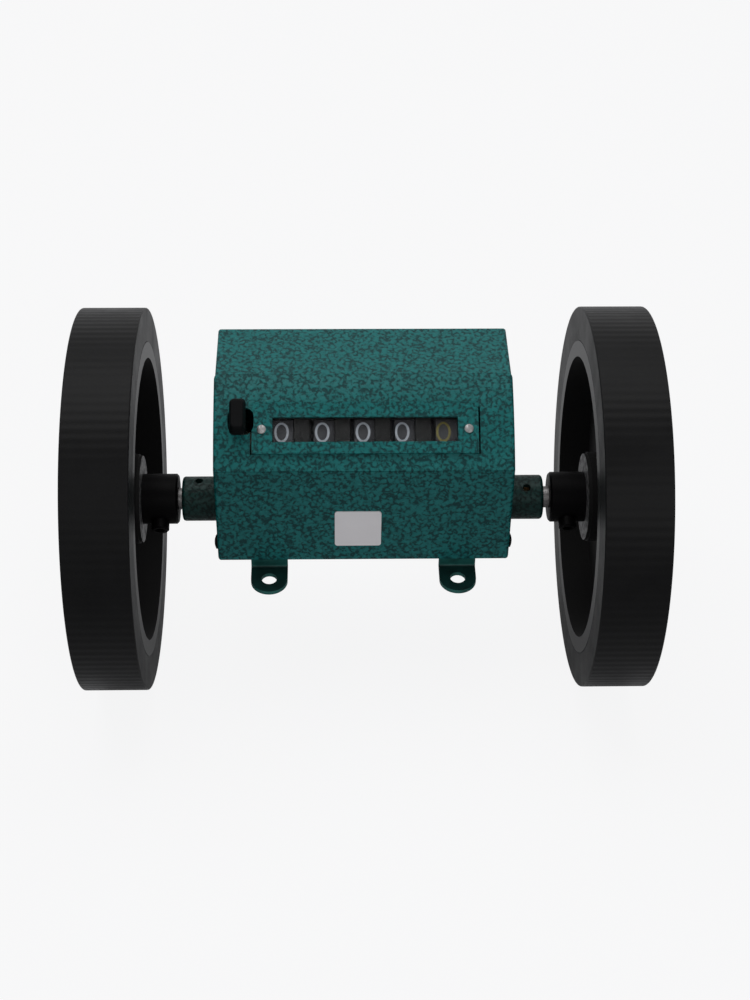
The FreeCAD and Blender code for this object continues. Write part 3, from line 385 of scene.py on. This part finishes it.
def make_materials():
    """Materials by their slots, and the two paints of the figures."""
    return {
        "housing_paint": hammertone("teal_hammertone", (0.008, 0.134, 0.131),
                                    (0.0016, 0.034, 0.035), (0.022, 0.185, 0.178)),
        # The end plates' darker copy of the housing enamel is painted shade
        "boss_painted_shade": hammertone("shaded_hammertone", (0.0045, 0.031, 0.027),
                                 (0.0015, 0.0095, 0.0085), (0.012, 0.045, 0.04)),
        # Base plate and feet: the first two colours are painted shade on level faces, the third is painted light
        # on upright faces
        "base_paint": smooth_enamel("teal_enamel", (0.006, 0.03, 0.027), (0.003, 0.016, 0.0145),
                                    (0.016, 0.11, 0.096)),
        "screw_steel": drawn_metal("zinc_plate", (0.5, 0.5, 0.47), 0.35),
        "window_screw_steel": drawn_metal("bright_steel", (0.22, 0.22, 0.22), 0.3),
        "bush_bronze": machined("sintered_bronze", (0.42, 0.25, 0.1), 0.4),
        "lens_clear": clear_lens("clear_window"),
        "frame_black": plastic("black_frame", (0.013, 0.013, 0.013), 0.6, specular=0.15),
        "label_grey": plastic("blank_label", (0.72, 0.7, 0.71), 0.5, 900, 0.05, 0.3),
        "shaft_steel": drawn_metal("ground_steel", (0.15, 0.145, 0.145), 0.34),
        "gear_plastic": plastic("moulded_gear", (0.52, 0.5, 0.42), 0.45),
        "gear_brass": drawn_metal("gear_brass", (0.62, 0.46, 0.2), 0.35),
        "spring_steel": drawn_metal("spring_wire", (0.45, 0.45, 0.44), 0.3),
        "lever_steel": drawn_metal("stamped_steel", (0.4, 0.4, 0.38), 0.38),
        "black_steel": plastic("black_oxide", (0.0018, 0.0016, 0.0019), 0.4, 1800, 0.3, 0.04),
        "zinc_washer": mottled_zinc("mottled_zinc"),
        "tyre_rubber": rubber("tyre_rubber"),
        # Rim edge, then the wheel's black paint darkened as painted shade of its deep recess
        "wheel_alloy": wheel_metal("wheel_casting", (0.008, 0.008, 0.008),
                                   (0.0014, 0.0013, 0.0014)),
        "drum_black": plastic("drum_plastic", (0.05, 0.05, 0.055), 0.6, 1500, 0.15, 0.2),
        "cap_black": plastic("cap_plastic", (0.002, 0.0022, 0.0026), 0.5, 1500, 0.2, 0.06),
        "figure_white": figure_paint("figure_white", (0.36, 0.38, 0.42)),
        "figure_yellow": figure_paint("figure_yellow", (0.155, 0.13, 0.023)),
    }


# Nodes whose material differs from the rest of their slot: black steel for the side screws, and for the end plates
# a darker copy of the housing enamel, which is painted shade
OWN_FINISH_AND_SHADE = {"left_end_plate": "boss_painted_shade", "right_end_plate": "boss_painted_shade",
              "side_screws": "black_steel"}


def dress(materials):
    """Gives each CAD node the material of its slot, or its own material: black steel for the side screws, painted
    shade for the end plates.
    """
    material_key = {part["node"]: part["material_slot"] for part in frame["record"]["subparts"]}
    material_key |= OWN_FINISH_AND_SHADE
    for name, piece in nodes.items():
        for slot in piece.material_slots:
            slot.material = materials[material_key[name]]
        if not piece.material_slots:
            piece.data.materials.append(materials[material_key[name]])


def piece_from(name, points, faces, material, body, slot):
    """A piece of the visual model that rides on a body."""
    mesh = bpy.data.meshes.new(name)
    mesh.from_pydata(points, [], faces)
    mesh.update()
    piece = bpy.data.objects.new(name, mesh)
    bpy.context.scene.collection.objects.link(piece)
    mesh.materials.append(material)
    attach(piece, body)
    return piece


# Tyres: shallow ribs lie across the tread, parallel to the shaft

RIB_COUNT = 130
RIB_STEPS = 8
RIB_DEPTH = 0.045 * MM
BORE_CHAMFER = 0.2 * MM
TYRE_EDGE = 0.45 * MM
TYRE_EDGE_STEPS = 4


def tyre_profile(node):
    """(x, radius, on tread) round the tyre's section, from the CAD solid's own box and bore."""
    low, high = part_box(node)
    outer = (high.z - low.z) / 2
    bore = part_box(node.replace("tyre", "wheel"))
    inner = (bore[1].z - bore[0].z) / 2
    section = []
    for side, x in ((1, low.x), (-1, high.x)):
        half = [(x + side * BORE_CHAMFER, inner, False), (x, inner + BORE_CHAMFER, False),
                (x, (inner + outer) / 2, False)]
        for step in range(TYRE_EDGE_STEPS + 1):
            turn = step / TYRE_EDGE_STEPS * TURN / 4
            half.append((x + side * TYRE_EDGE * (1 - math.cos(turn)),
                         outer - TYRE_EDGE * (1 - math.sin(turn)), step == TYRE_EDGE_STEPS))
        section += half if side > 0 else half[::-1]
    return section


def ribbed_tyre(node, material):
    """A tyre as rings of its section, one ring for each step round the tread."""
    section = tyre_profile(node)
    size, total = len(section), RIB_COUNT * RIB_STEPS
    points, faces = [], []
    for index in range(total):
        angle = index / total * TURN
        sunk = RIB_DEPTH / 2 * (1 - math.cos(index / RIB_STEPS * TURN))
        for x, radius, tread in section:
            reach = radius - sunk if tread else radius
            points.append((x, shaft_at.y + reach * math.cos(angle),
                           shaft_at.z + reach * math.sin(angle)))
    for index in range(total):
        here, after = index * size, (index + 1) % total * size
        for k in range(size):
            onward = (k + 1) % size
            faces.append((here + k, here + onward, after + onward, after + k))
    piece = piece_from(node + "_ribbed", points, faces, material, "roller", "tyre_rubber")
    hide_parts(node)


# Figures: painted strokes on the number drums

FIGURE_WIDTH = 3.3 * MM
FIGURE_HEIGHT = 5.0 * MM
STROKE = 0.6 * MM
PAINT_LIFT = 0.03 * MM
# From each drum's left side to the middle of its figures
FIGURE_PLACE = {"thousands": 3.7 * MM, "hundreds": 3.7 * MM, "tens": 3.7 * MM, "units": 3.3 * MM,
                "tenths": 3.45 * MM}
# Angle from one figure to the next, and the figure zero's lean from the top towards the window
FIGURE_STEP = math.radians(36)
FIGURE_LEAN = math.radians(34)
# A stroke whose ends lie nearer than this is closed
STROKE_JOIN = STROKE / 10
# Least cosine of half a bend that still widens the stroke there
STROKE_BEND = 0.6


def arc(cx, cy, rx, ry, start, end, steps=14):
    """Points of an elliptic arc; angles in quarter turns from +X towards +Y."""
    turns = [(start + (end - start) * k / steps) * TURN / 4 for k in range(steps + 1)]
    return [(cx + rx * math.cos(turn), cy + ry * math.sin(turn)) for turn in turns]


# Strokes of each figure in a box one wide and one high, centred on zero
FIGURE_SHARES = {
    0: [arc(0, 0, 0.5, 0.5, 0, 4, 36)],
    1: [[(-0.22, 0.3), (0.06, 0.5), (0.06, -0.5)]],
    2: [arc(0, 0.22, 0.46, 0.28, 2, -0.45) + [(-0.46, -0.5), (0.48, -0.5)]],
    3: [arc(-0.02, 0.25, 0.42, 0.25, 1.8, -1) + arc(-0.04, -0.25, 0.48, 0.25, 1, -1.8)],
    4: [[(0.24, -0.5), (0.24, 0.5), (-0.48, -0.18), (0.5, -0.18)]],
    5: [[(0.4, 0.5), (-0.34, 0.5), (-0.4, 0.06)] + arc(-0.02, -0.18, 0.46, 0.32, 1.6, -1.8)],
    6: [arc(0.1, 0.1, 0.56, 0.4, 1, 2) + arc(0, -0.2, 0.46, 0.3, 2, 6, 28)],
    7: [[(-0.46, 0.5), (0.46, 0.5), (-0.12, -0.5)]],
    8: [arc(0, 0.26, 0.38, 0.24, -1, 3, 28) + arc(0, -0.24, 0.46, 0.26, 1, -3, 28)],
    9: [arc(-0.1, -0.1, 0.56, 0.4, -1, 0) + arc(0, 0.2, 0.46, 0.3, 0, 4, 28)],
}


def stroke_ribbon(path):
    """A flat ribbon along a path: pairs of points, one on each side of it."""
    last = len(path) - 1
    closed = math.dist(path[0], path[last]) < STROKE_JOIN
    pairs = []
    for index, point in enumerate(path):
        before = path[index - 1] if index else path[last - 1] if closed else point
        after = path[index + 1] if index < last else path[1] if closed else point
        back = Vector((point[0] - before[0], point[1] - before[1]))
        ahead = Vector((after[0] - point[0], after[1] - point[1]))
        back.normalize()
        ahead.normalize()
        way = (back + ahead).normalized()
        bend = max(STROKE_BEND, way.dot(ahead if ahead.length else back))
        across = Vector((-way.y, way.x)) * (STROKE / 2 / bend)
        pairs.append(((point[0] + across.x, point[1] + across.y),
                      (point[0] - across.x, point[1] - across.y)))
    return pairs


def figure_middle(name):
    """Where the middle of a drum's figures lies along the shaft."""
    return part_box(name + "_drum")[0].x + FIGURE_PLACE[name]


def drum_figures(name, material, slot):
    """The figures 0 to 9 round a drum."""
    low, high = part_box(name + "_drum")
    radius = (high.z - low.z) / 2 + PAINT_LIFT
    middle = figure_middle(name)
    points, faces = [], []
    for figure, strokes in FIGURE_SHARES.items():
        lean = FIGURE_LEAN - figure * FIGURE_STEP
        for shares in strokes:
            path = [(u * FIGURE_WIDTH, v * FIGURE_HEIGHT) for u, v in shares]
            first = len(points)
            for pair in stroke_ribbon(path):
                for across, up in pair:
                    angle = lean - up / radius
                    points.append((middle + across, drum_at.y - radius * math.sin(angle),
                                   drum_at.z + radius * math.cos(angle)))
            for at in range(first, len(points) - 2, 2):
                faces.append((at, at + 2, at + 3, at + 1))
    piece_from(name + "_figures", points, faces, material, name, slot)


# Bars of the lens frame between the figures, and the reset cap: both lie square to the sloping pad

PAD_SLOPE = math.radians(35)
UP_PAD = Vector((0, math.cos(PAD_SLOPE), math.sin(PAD_SLOPE)))
OUT_OF_PAD = Vector((0, -math.sin(PAD_SLOPE), math.cos(PAD_SLOPE)))
BAR_WIDTH = 4.4 * MM
BAR_REACH = 3.7 * MM
BAR_DEPTH = 0.6 * MM
BAR_EDGE = 0.25 * MM
# Signs of an oblong's corners, in order round it
CORNERS = ((-1, -1), (1, -1), (1, 1), (-1, 1))


def prism(rings):
    """Points and faces of a closed solid through rings that have the same number of points."""
    size = len(rings[0])
    points = [tuple(point) for ring in rings for point in ring]
    faces = [tuple(reversed(range(size))), tuple(range(len(points) - size, len(points)))]
    for level in range(len(rings) - 1):
        for k in range(size):
            low, onward = level * size + k, level * size + (k + 1) % size
            faces.append((low, onward, onward + size, low + size))
    return points, faces


def frame_bars(material):
    """Four bars across the window, within the lens frame's thickness, chamfered at the lens."""
    low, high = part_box("lens_frame")
    middle = (low + high) / 2
    top = BAR_DEPTH / 2
    names = list(FIGURE_PLACE)
    points, faces = [], []
    for name, after in zip(names, names[1:]):
        middle.x = (figure_middle(name) + figure_middle(after)) / 2
        rings = []
        for out, inset in ((-top, 0), (top - BAR_EDGE, 0), (top, BAR_EDGE)):
            place = middle + OUT_OF_PAD * out
            half = BAR_WIDTH / 2 - inset
            rings.append([place + Vector((side * half, 0, 0)) + UP_PAD * (end * BAR_REACH)
                          for side, end in CORNERS])
        bar_points, bar_faces = prism(rings)
        faces += [tuple(index + len(points) for index in face) for face in bar_faces]
        points += bar_points
    piece_from("lens_frame_bars", points, faces, material, "counter_body", "frame_black")


CAP_LENGTH = 10.0 * MM
CAP_HEIGHT = 3.6 * MM
CAP_TOP_SHARE = 0.76
CAP_CORNER = 1.3 * MM
CAP_EDGE = 0.35 * MM
CAP_CORNER_STEPS = 6
# Signs of the cap's corners, one for each quarter turn from +X
CAP_CORNERS = ((1, 1), (-1, 1), (-1, -1), (1, -1))
# Levels of the round along the cap's top, as shares of a quarter turn
CAP_EDGE_TURNS = (0.0, 0.33, 0.67, 1.0)


def cap_ring(place, share, inset):
    """A rounded oblong about place, square to the pad."""
    low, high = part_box("reset_cap")
    half_width = (high.x - low.x) / 2 * share - inset
    half_length = CAP_LENGTH / 2 * share - inset
    corner = CAP_CORNER * share
    ring = []
    for quarter, (side, end) in enumerate(CAP_CORNERS):
        for step in range(CAP_CORNER_STEPS + 1):
            turn = (quarter + step / CAP_CORNER_STEPS) * TURN / 4
            across = side * (half_width - corner) + corner * math.cos(turn)
            along = end * (half_length - corner) + corner * math.sin(turn)
            ring.append(place + Vector((across, 0, 0)) + UP_PAD * along)
    return ring


def shaped_cap(material):
    """The finger cap, squarer at its corners than its solid, with a small round along its top."""
    low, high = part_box("reset_cap")
    foot = Vector(((low.x + high.x) / 2, high.y - CAP_LENGTH / 2 * UP_PAD.y,
                   low.z + CAP_LENGTH / 2 * UP_PAD.z))
    rings = [cap_ring(foot, 1, 0)]
    for turn in CAP_EDGE_TURNS:
        rise = CAP_HEIGHT - CAP_EDGE * (1 - math.sin(turn * TURN / 4))
        share = 1 + (CAP_TOP_SHARE - 1) * rise / CAP_HEIGHT
        inset = CAP_EDGE * (1 - math.cos(turn * TURN / 4))
        rings.append(cap_ring(foot + OUT_OF_PAD * rise, share, inset))
    piece = piece_from("reset_cap_shaped", *prism(rings), material, "reset", "cap_black")
    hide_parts("reset_cap")


# Floor, lamps and background

FLOOR_SIZE = 12.0
FLOOR_GAP = 0.02 * MM
FLOOR_COLOR = (0.85, 0.85, 0.855, 1)
FLOOR_ROUGHNESS = 0.9
FLOOR_SPECULAR = 0.1
BACKGROUND_COLOR = (0.955, 0.955, 0.96, 1)
# How much plain background the camera sees in the floor, and reflections see
FLOOR_SEEN_SHARE = 0.93
FLOOR_GLOSSY_SHARE = 0.1
WORLD_COLOR = (0.93, 0.95, 1.0, 1)
WORLD_STRENGTH = 0.28
LAMP_TARGET = (0, 0, 0.02)


def background_mix(tree, own, seen_share, glossy_share):
    """A shader mixed with plain background for camera, transmission and glossy rays."""
    path = tree.nodes.new("ShaderNodeLightPath")
    share = None
    for ray, part in (("Is Camera Ray", seen_share), ("Is Transmission Ray", seen_share),
                      ("Is Glossy Ray", glossy_share)):
        node = tree.nodes.new("ShaderNodeMath")
        node.operation = "MULTIPLY_ADD"
        node.use_clamp = True
        tree.links.new(path.outputs[ray], node.inputs[0])
        node.inputs[1].default_value = part
        node.inputs[2].default_value = 0
        if share:
            tree.links.new(share, node.inputs[2])
        share = node.outputs[0]
    white = tree.nodes.new("ShaderNodeEmission")
    white.inputs["Color"].default_value = BACKGROUND_COLOR
    mix = tree.nodes.new("ShaderNodeMixShader")
    for place, source in enumerate((share, own, white.outputs[0])):
        tree.links.new(source, mix.inputs[place])
    return mix.outputs[0]


def make_floor():
    low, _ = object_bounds()
    half = FLOOR_SIZE / 2
    level = low.z - FLOOR_GAP
    mesh = bpy.data.meshes.new("floor")
    mesh.from_pydata([(side * half, end * half, level) for side, end in CORNERS],
                     [], [(0, 1, 2, 3)])
    floor = bpy.data.objects.new("floor", mesh)
    bpy.context.scene.collection.objects.link(floor)
    material = bpy.data.materials.new("pale_floor")
    material.use_nodes = True
    tree = material.node_tree
    shader = tree.nodes["Principled BSDF"]
    shader.inputs["Base Color"].default_value = FLOOR_COLOR
    shader.inputs["Roughness"].default_value = FLOOR_ROUGHNESS
    shader.inputs["Specular IOR Level"].default_value = FLOOR_SPECULAR
    out = tree.nodes["Material Output"].inputs["Surface"]
    mixed = background_mix(tree, shader.outputs[0], FLOOR_SEEN_SHARE, FLOOR_GLOSSY_SHARE)
    tree.links.new(mixed, out)
    mesh.materials.append(material)


def make_world():
    """A dim sky that lights the object, seen as plain background."""
    world = bpy.data.worlds.new("world")
    bpy.context.scene.world = world
    world.use_nodes = True
    tree = world.node_tree
    own = tree.nodes["Background"]
    own.inputs["Color"].default_value = WORLD_COLOR
    own.inputs["Strength"].default_value = WORLD_STRENGTH
    out = tree.nodes["World Output"].inputs["Surface"]
    tree.links.new(background_mix(tree, own.outputs[0], 1.0, 1.0), out)


def lamp(name, place, size, power):
    """An oblong lamp that looks at the object. The power is in watts."""
    data = bpy.data.lights.new(name, "AREA")
    data.shape = "RECTANGLE"
    data.size, data.size_y = size
    data.energy = power
    light = bpy.data.objects.new(name, data)
    light.location = place
    light.rotation_mode = "QUATERNION"
    light.rotation_quaternion = (Vector(LAMP_TARGET) - Vector(place)).to_track_quat("-Z", "Y")
    bpy.context.scene.collection.objects.link(light)


def make_lamps():
    lamp("overhead", (-0.1, 0.25, 0.95), (0.9, 0.7), 6.1)
    lamp("front_fill", (0.25, -0.9, 0.7), (0.8, 0.6), 2.3)


def main():
    bpy.context.scene.view_settings.view_transform = "Standard"
    make_camera()
    materials = make_materials()
    dress(materials)
    for side in ("left", "right"):
        ribbed_tyre(side + "_tyre", materials["tyre_rubber"])
    for name in ("thousands", "hundreds", "tens", "units"):
        drum_figures(name, materials["figure_white"], "label_grey")
    drum_figures("tenths", materials["figure_yellow"], "gear_plastic")
    frame_bars(materials["frame_black"])
    shaped_cap(materials["cap_black"])
    make_world()
    make_lamps()
    make_floor()


main()
